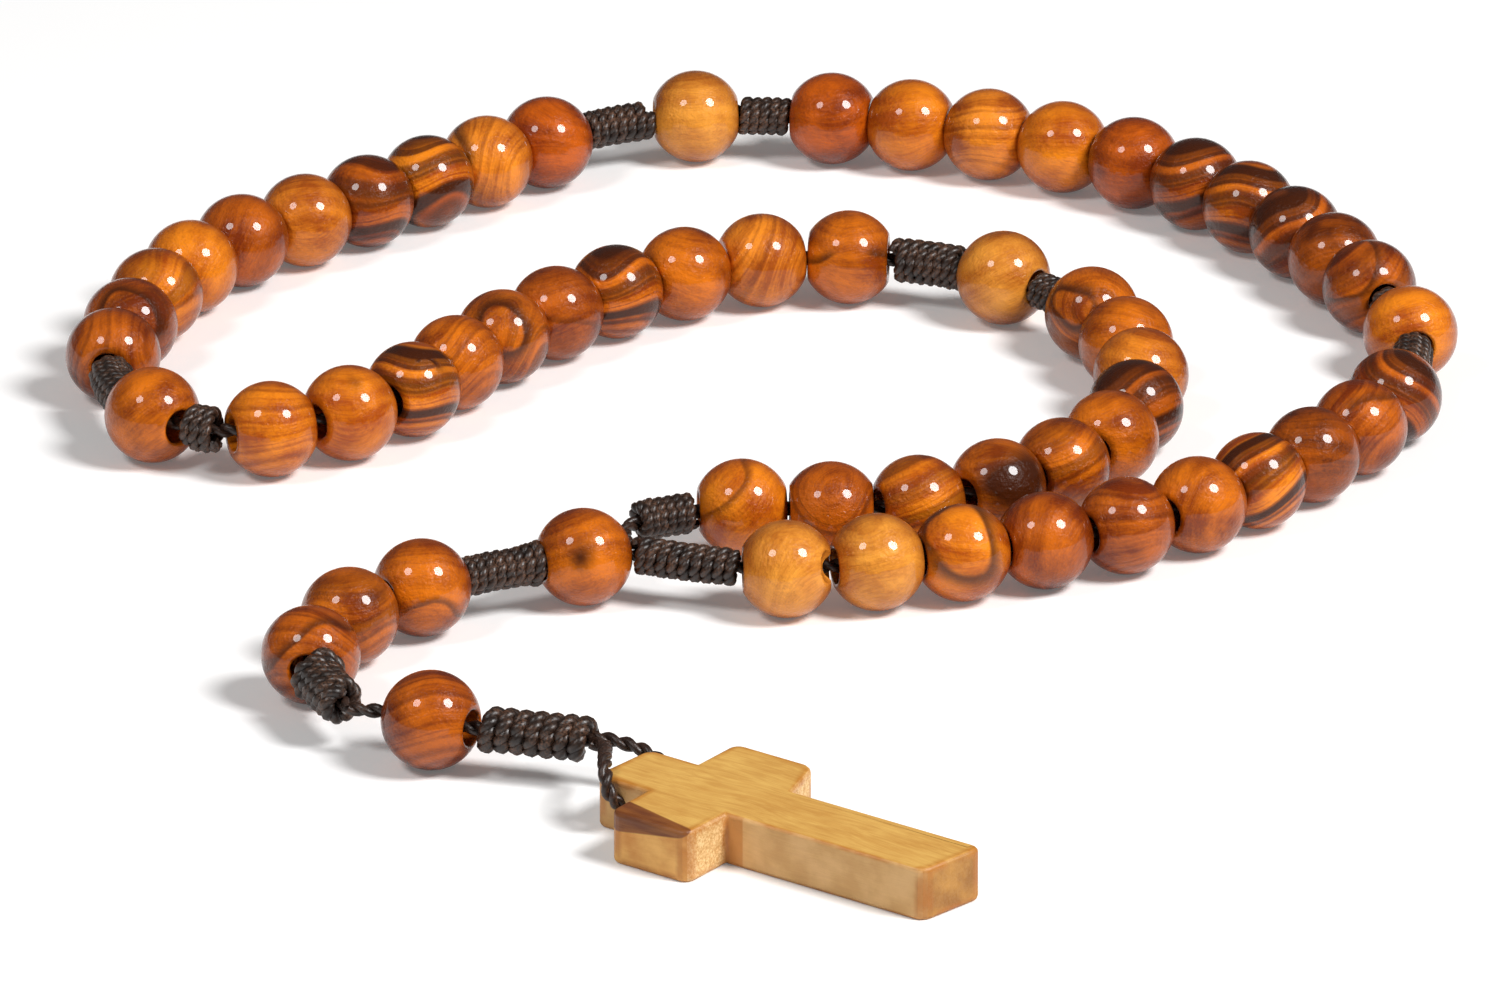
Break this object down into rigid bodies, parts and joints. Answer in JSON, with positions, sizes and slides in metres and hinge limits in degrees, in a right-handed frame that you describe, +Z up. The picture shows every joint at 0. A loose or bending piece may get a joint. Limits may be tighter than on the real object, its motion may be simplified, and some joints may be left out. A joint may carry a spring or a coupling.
{
  "type": "rosary",
  "caption": "Corded prayer beads: a loop of turned wooden beads in groups parted by wrapped knots, with a pendant of beads and a flat wooden cross on a loop of twisted cord.",
  "frame": {"origin": "centre of the laid-out rosary's bounding box, on the table it lies on", "axes": "+Z up from the table; +Y away from the cross, along the rosary's longest way; +X to the right as seen from the cross"},
  "size_m": [0.1168, 0.1686, 0.008],
  "materials": {
    "bead": "polished olive wood",
    "large_bead": "polished olive wood",
    "cross": "sanded olive wood",
    "cord": "waxed twisted cord",
    "knot": "waxed cord, wrapped"
  },
  "bodies": {
    "loop": {"loop_cord": "cord", "loop_knots": "knot", "decade_3_beads": "bead"},
    "pendant_upper": {"pendant_cord_upper": "cord", "pendant_knot_1": "knot", "pendant_knot_2": "knot"},
    "pendant_link": {"pendant_link_cord": "cord"},
    "pendant_lower": {"pendant_cord_lower": "cord", "pendant_knot_3": "knot", "cross_loop": "cord"},
    "cross": {"cross": "cross"},
    "junction_bead": {"junction_bead": "large_bead"},
    "hail_mary_bead_1": {"hail_mary_bead_1": "bead"},
    "hail_mary_bead_2": {"hail_mary_bead_2": "bead"},
    "hail_mary_bead_3": {"hail_mary_bead_3": "bead"},
    "pendant_our_father_bead": {"pendant_our_father_bead": "large_bead"},
    "our_father_bead_1": {"our_father_bead_1": "large_bead"},
    "our_father_bead_2": {"our_father_bead_2": "large_bead"},
    "our_father_bead_3": {"our_father_bead_3": "large_bead"},
    "our_father_bead_4": {"our_father_bead_4": "large_bead"},
    "decade_1_bead_1": {"decade_1_bead_1": "bead"},
    "decade_1_bead_2": {"decade_1_bead_2": "bead"},
    "decade_1_bead_3": {"decade_1_bead_3": "bead"},
    "decade_1_bead_4": {"decade_1_bead_4": "bead"},
    "decade_1_bead_5": {"decade_1_bead_5": "bead"},
    "decade_1_bead_6": {"decade_1_bead_6": "bead"},
    "decade_1_bead_7": {"decade_1_bead_7": "bead"},
    "decade_1_bead_8": {"decade_1_bead_8": "bead"},
    "decade_1_bead_9": {"decade_1_bead_9": "bead"},
    "decade_1_bead_10": {"decade_1_bead_10": "bead"},
    "decade_2_bead_1": {"decade_2_bead_1": "bead"},
    "decade_2_bead_2": {"decade_2_bead_2": "bead"},
    "decade_2_bead_3": {"decade_2_bead_3": "bead"},
    "decade_2_bead_4": {"decade_2_bead_4": "bead"},
    "decade_2_bead_5": {"decade_2_bead_5": "bead"},
    "decade_2_bead_6": {"decade_2_bead_6": "bead"},
    "decade_2_bead_7": {"decade_2_bead_7": "bead"},
    "decade_2_bead_8": {"decade_2_bead_8": "bead"},
    "decade_2_bead_9": {"decade_2_bead_9": "bead"},
    "decade_2_bead_10": {"decade_2_bead_10": "bead"},
    "decade_4_bead_1": {"decade_4_bead_1": "bead"},
    "decade_4_bead_2": {"decade_4_bead_2": "bead"},
    "decade_4_bead_3": {"decade_4_bead_3": "bead"},
    "decade_4_bead_4": {"decade_4_bead_4": "bead"},
    "decade_4_bead_5": {"decade_4_bead_5": "bead"},
    "decade_4_bead_6": {"decade_4_bead_6": "bead"},
    "decade_4_bead_7": {"decade_4_bead_7": "bead"},
    "decade_4_bead_8": {"decade_4_bead_8": "bead"},
    "decade_4_bead_9": {"decade_4_bead_9": "bead"},
    "decade_4_bead_10": {"decade_4_bead_10": "bead"},
    "decade_5_bead_1": {"decade_5_bead_1": "bead"},
    "decade_5_bead_2": {"decade_5_bead_2": "bead"},
    "decade_5_bead_3": {"decade_5_bead_3": "bead"},
    "decade_5_bead_4": {"decade_5_bead_4": "bead"},
    "decade_5_bead_5": {"decade_5_bead_5": "bead"},
    "decade_5_bead_6": {"decade_5_bead_6": "bead"},
    "decade_5_bead_7": {"decade_5_bead_7": "bead"},
    "decade_5_bead_8": {"decade_5_bead_8": "bead"},
    "decade_5_bead_9": {"decade_5_bead_9": "bead"},
    "decade_5_bead_10": {"decade_5_bead_10": "bead"}
  },
  "joints": [
    {"name": "cross_swing", "type": "hinge", "parent": "pendant_lower", "child": "cross", "pos_m": [-0.00915, -0.06393, 0.0022], "axis": [-0.5948, -0.8039, 0], "range_deg": [0, 60]},
    {"name": "pendant_swing", "type": "hinge", "parent": "loop", "child": "pendant_upper", "pos_m": [-0.01821, -0.02085, 0.004], "axis": [0, 0, 1], "range_deg": [-30, 30]},
    {"name": "link_swing", "type": "hinge", "parent": "pendant_upper", "child": "pendant_link", "pos_m": [-0.03273, -0.05079, 0.004], "axis": [0, 0, -1], "range_deg": [-35, 35]},
    {"name": "lower_lift", "type": "hinge", "parent": "pendant_link", "child": "pendant_lower", "pos_m": [-0.02993, -0.05139, 0.004], "axis": [-0.4568, -0.8896, 0], "range_deg": [0, 70]},
    {"name": "junction_spin", "type": "hinge", "parent": "loop", "child": "junction_bead", "pos_m": [-0.0145, -0.0195, 0.004], "axis": [0.9397, 0.342, 0], "continuous": true},
    {"name": "pendant_our_father_spin", "type": "hinge", "parent": "pendant_lower", "child": "pendant_our_father_bead", "pos_m": [-0.02623, -0.05327, 0.004], "axis": [0.8969, -0.4423, 0], "continuous": true},
    {"name": "hail_mary_1_spin", "type": "hinge", "parent": "pendant_upper", "child": "hail_mary_bead_1", "pos_m": [-0.02747, -0.026, 0.004], "axis": [-0.8064, -0.5914, 0], "continuous": true},
    {"name": "hail_mary_2_spin", "type": "hinge", "parent": "pendant_upper", "child": "hail_mary_bead_2", "pos_m": [-0.03317, -0.03198, 0.004], "axis": [-0.5547, -0.8321, 0], "continuous": true},
    {"name": "hail_mary_3_spin", "type": "hinge", "parent": "pendant_upper", "child": "hail_mary_bead_3", "pos_m": [-0.03608, -0.03997, 0.004], "axis": [-0.0624, -0.9981, 0], "continuous": true},
    {"name": "our_father_1_spin", "type": "hinge", "parent": "loop", "child": "our_father_bead_1", "pos_m": [0.05445, 0.02965, 0.004], "axis": [-0.1177, 0.9931, 0], "continuous": true},
    {"name": "our_father_2_spin", "type": "hinge", "parent": "loop", "child": "our_father_bead_2", "pos_m": [-0.00573, 0.08075, 0.004], "axis": [-0.997, -0.0772, 0], "continuous": true},
    {"name": "our_father_3_spin", "type": "hinge", "parent": "loop", "child": "our_father_bead_3", "pos_m": [-0.05053, 0.01128, 0.004], "axis": [0.6562, -0.7546, 0], "continuous": true},
    {"name": "our_father_4_spin", "type": "hinge", "parent": "loop", "child": "our_father_bead_4", "pos_m": [0.02049, 0.04235, 0.004], "axis": [0.7894, -0.6139, 0], "continuous": true},
    {"name": "decade_1_1_spin", "type": "hinge", "parent": "loop", "child": "decade_1_bead_1", "pos_m": [0.00195, -0.02207, 0.004], "axis": [0.9987, 0.0503, 0], "continuous": true},
    {"name": "decade_1_2_spin", "type": "hinge", "parent": "loop", "child": "decade_1_bead_2", "pos_m": [0.00927, -0.02059, 0.004], "axis": [0.9698, 0.244, 0], "continuous": true},
    {"name": "decade_1_3_spin", "type": "hinge", "parent": "loop", "child": "decade_1_bead_3", "pos_m": [0.01623, -0.01864, 0.004], "axis": [0.9502, 0.3117, 0], "continuous": true},
    {"name": "decade_1_4_spin", "type": "hinge", "parent": "loop", "child": "decade_1_bead_4", "pos_m": [0.02298, -0.01603, 0.004], "axis": [0.924, 0.3824, 0], "continuous": true},
    {"name": "decade_1_5_spin", "type": "hinge", "parent": "loop", "child": "decade_1_bead_5", "pos_m": [0.02965, -0.01287, 0.004], "axis": [0.8586, 0.5126, 0], "continuous": true},
    {"name": "decade_1_6_spin", "type": "hinge", "parent": "loop", "child": "decade_1_bead_6", "pos_m": [0.03565, -0.00836, 0.004], "axis": [0.7303, 0.6831, 0], "continuous": true},
    {"name": "decade_1_7_spin", "type": "hinge", "parent": "loop", "child": "decade_1_bead_7", "pos_m": [0.04071, -0.00314, 0.004], "axis": [0.6665, 0.7455, 0], "continuous": true},
    {"name": "decade_1_8_spin", "type": "hinge", "parent": "loop", "child": "decade_1_bead_8", "pos_m": [0.04531, 0.00249, 0.004], "axis": [0.5971, 0.8022, 0], "continuous": true},
    {"name": "decade_1_9_spin", "type": "hinge", "parent": "loop", "child": "decade_1_bead_9", "pos_m": [0.04943, 0.00852, 0.004], "axis": [0.5065, 0.8623, 0], "continuous": true},
    {"name": "decade_1_10_spin", "type": "hinge", "parent": "loop", "child": "decade_1_bead_10", "pos_m": [0.05255, 0.01533, 0.004], "axis": [0.3202, 0.9473, 0], "continuous": true},
    {"name": "decade_2_1_spin", "type": "hinge", "parent": "loop", "child": "decade_2_bead_1", "pos_m": [0.05139, 0.04025, 0.004], "axis": [-0.3555, 0.9347, 0], "continuous": true},
    {"name": "decade_2_2_spin", "type": "hinge", "parent": "loop", "child": "decade_2_bead_2", "pos_m": [0.04868, 0.0467, 0.004], "axis": [-0.4204, 0.9073, 0], "continuous": true},
    {"name": "decade_2_3_spin", "type": "hinge", "parent": "loop", "child": "decade_2_bead_3", "pos_m": [0.04555, 0.05294, 0.004], "axis": [-0.4839, 0.8751, 0], "continuous": true},
    {"name": "decade_2_4_spin", "type": "hinge", "parent": "loop", "child": "decade_2_bead_4", "pos_m": [0.04175, 0.05893, 0.004], "axis": [-0.5842, 0.8116, 0], "continuous": true},
    {"name": "decade_2_5_spin", "type": "hinge", "parent": "loop", "child": "decade_2_bead_5", "pos_m": [0.03736, 0.06441, 0.004], "axis": [-0.6519, 0.7583, 0], "continuous": true},
    {"name": "decade_2_6_spin", "type": "hinge", "parent": "loop", "child": "decade_2_bead_6", "pos_m": [0.03214, 0.06941, 0.004], "axis": [-0.7865, 0.6176, 0], "continuous": true},
    {"name": "decade_2_7_spin", "type": "hinge", "parent": "loop", "child": "decade_2_bead_7", "pos_m": [0.02608, 0.0733, 0.004], "axis": [-0.8815, 0.4722, 0], "continuous": true},
    {"name": "decade_2_8_spin", "type": "hinge", "parent": "loop", "child": "decade_2_bead_8", "pos_m": [0.01971, 0.07634, 0.004], "axis": [-0.9259, 0.3777, 0], "continuous": true},
    {"name": "decade_2_9_spin", "type": "hinge", "parent": "loop", "child": "decade_2_bead_9", "pos_m": [0.013, 0.07862, 0.004], "axis": [-0.9643, 0.265, 0], "continuous": true},
    {"name": "decade_2_10_spin", "type": "hinge", "parent": "loop", "child": "decade_2_bead_10", "pos_m": [0.00613, 0.08022, 0.004], "axis": [-0.9861, 0.1662, 0], "continuous": true},
    {"name": "decade_4_1_spin", "type": "hinge", "parent": "loop", "child": "decade_4_bead_1", "pos_m": [-0.04063, 0.00816, 0.004], "axis": [0.9469, 0.3216, 0], "continuous": true},
    {"name": "decade_4_2_spin", "type": "hinge", "parent": "loop", "child": "decade_4_bead_2", "pos_m": [-0.03421, 0.01173, 0.004], "axis": [0.8018, 0.5976, 0], "continuous": true},
    {"name": "decade_4_3_spin", "type": "hinge", "parent": "loop", "child": "decade_4_bead_3", "pos_m": [-0.02906, 0.01696, 0.004], "axis": [0.5849, 0.8111, 0], "continuous": true},
    {"name": "decade_4_4_spin", "type": "hinge", "parent": "loop", "child": "decade_4_bead_4", "pos_m": [-0.02554, 0.02298, 0.004], "axis": [0.4951, 0.8688, 0], "continuous": true},
    {"name": "decade_4_5_spin", "type": "hinge", "parent": "loop", "child": "decade_4_bead_5", "pos_m": [-0.02174, 0.02884, 0.004], "axis": [0.5917, 0.8062, 0], "continuous": true},
    {"name": "decade_4_6_spin", "type": "hinge", "parent": "loop", "child": "decade_4_bead_6", "pos_m": [-0.01729, 0.03422, 0.004], "axis": [0.6757, 0.7372, 0], "continuous": true},
    {"name": "decade_4_7_spin", "type": "hinge", "parent": "loop", "child": "decade_4_bead_7", "pos_m": [-0.01231, 0.03915, 0.004], "axis": [0.7628, 0.6466, 0], "continuous": true},
    {"name": "decade_4_8_spin", "type": "hinge", "parent": "loop", "child": "decade_4_bead_8", "pos_m": [-0.00655, 0.04327, 0.004], "axis": [0.859, 0.512, 0], "continuous": true},
    {"name": "decade_4_9_spin", "type": "hinge", "parent": "loop", "child": "decade_4_bead_9", "pos_m": [0, 0.04638, 0.004], "axis": [0.959, 0.2834, 0], "continuous": true},
    {"name": "decade_4_10_spin", "type": "hinge", "parent": "loop", "child": "decade_4_bead_10", "pos_m": [0.0074, 0.04713, 0.004], "axis": [0.9963, -0.0856, 0], "continuous": true},
    {"name": "decade_5_1_spin", "type": "hinge", "parent": "loop", "child": "decade_5_bead_1", "pos_m": [0.02781, 0.03407, 0.004], "axis": [0.5012, -0.8654, 0], "continuous": true},
    {"name": "decade_5_2_spin", "type": "hinge", "parent": "loop", "child": "decade_5_bead_2", "pos_m": [0.03051, 0.02727, 0.004], "axis": [0.2291, -0.9734, 0], "continuous": true},
    {"name": "decade_5_3_spin", "type": "hinge", "parent": "loop", "child": "decade_5_bead_3", "pos_m": [0.03162, 0.02023, 0.004], "axis": [0.0422, -0.9991, 0], "continuous": true},
    {"name": "decade_5_4_spin", "type": "hinge", "parent": "loop", "child": "decade_5_bead_4", "pos_m": [0.031, 0.013, 0.004], "axis": [-0.2105, -0.9776, 0], "continuous": true},
    {"name": "decade_5_5_spin", "type": "hinge", "parent": "loop", "child": "decade_5_bead_5", "pos_m": [0.02881, 0.00615, 0.004], "axis": [-0.4235, -0.9059, 0], "continuous": true},
    {"name": "decade_5_6_spin", "type": "hinge", "parent": "loop", "child": "decade_5_bead_6", "pos_m": [0.02464, 0.00007, 0.004], "axis": [-0.6907, -0.7231, 0], "continuous": true},
    {"name": "decade_5_7_spin", "type": "hinge", "parent": "loop", "child": "decade_5_bead_7", "pos_m": [0.01929, -0.00448, 0.004], "axis": [-0.7809, -0.6247, 0], "continuous": true},
    {"name": "decade_5_8_spin", "type": "hinge", "parent": "loop", "child": "decade_5_bead_8", "pos_m": [0.01278, -0.00804, 0.004], "axis": [-0.9504, -0.3109, 0], "continuous": true},
    {"name": "decade_5_9_spin", "type": "hinge", "parent": "loop", "child": "decade_5_bead_9", "pos_m": [0.00563, -0.00947, 0.004], "axis": [-0.9994, -0.0355, 0], "continuous": true},
    {"name": "decade_5_10_spin", "type": "hinge", "parent": "loop", "child": "decade_5_bead_10", "pos_m": [-0.00165, -0.00889, 0.004], "axis": [-0.9961, -0.0886, 0], "continuous": true}
  ]
}
